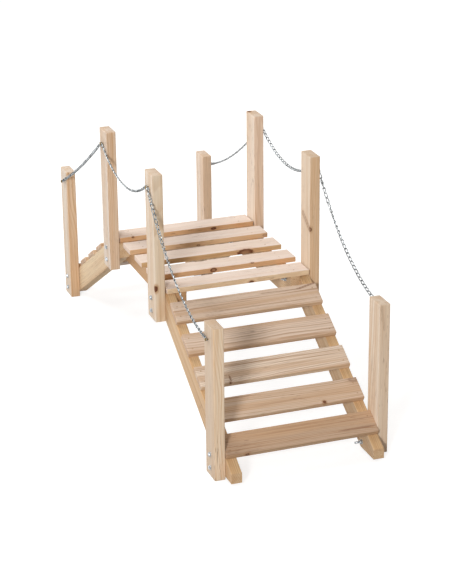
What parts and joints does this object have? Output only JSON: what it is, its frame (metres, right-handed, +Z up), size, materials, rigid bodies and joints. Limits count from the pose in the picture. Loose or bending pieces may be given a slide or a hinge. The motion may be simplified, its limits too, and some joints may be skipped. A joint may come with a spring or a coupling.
{
  "type": "garden moon bridge",
  "caption": "Small softwood garden moon bridge: two short ramps up to a level slatted deck, posts along both sides and slack chains as rails.",
  "frame": {"origin": "middle of the bridge at ground level", "axes": "+Y along the walkway towards the far ramp, +X to the right across it, +Z up"},
  "size_m": [0.6522, 2.0056, 0.879],
  "materials": {
    "softwood": "planed, untreated",
    "zinc_chain": "bright zinc plate",
    "brass_screw": "yellow passivated"
  },
  "bodies": {
    "root": {"deck_board_1": "softwood", "deck_board_2": "softwood", "deck_board_3": "softwood", "deck_board_4": "softwood", "deck_board_5": "softwood", "far_left_deck_post": "softwood", "far_left_foot_post": "softwood", "far_left_stringer": "softwood", "far_ramp_board_1": "softwood", "far_ramp_board_2": "softwood", "far_ramp_board_3": "softwood", "far_ramp_board_4": "softwood", "far_ramp_board_5": "softwood", "far_right_deck_post": "softwood", "far_right_foot_post": "softwood", "far_right_stringer": "softwood", "left_chain": "zinc_chain", "left_chain_screws": "brass_screw", "left_deck_joist": "softwood", "near_left_deck_post": "softwood", "near_left_foot_post": "softwood", "near_left_stringer": "softwood", "near_ramp_board_1": "softwood", "near_ramp_board_2": "softwood", "near_ramp_board_3": "softwood", "near_ramp_board_4": "softwood", "near_ramp_board_5": "softwood", "near_right_deck_post": "softwood", "near_right_foot_post": "softwood", "near_right_stringer": "softwood", "right_chain": "zinc_chain", "right_chain_screws": "brass_screw", "right_deck_joist": "softwood"}
  },
  "joints": []
}
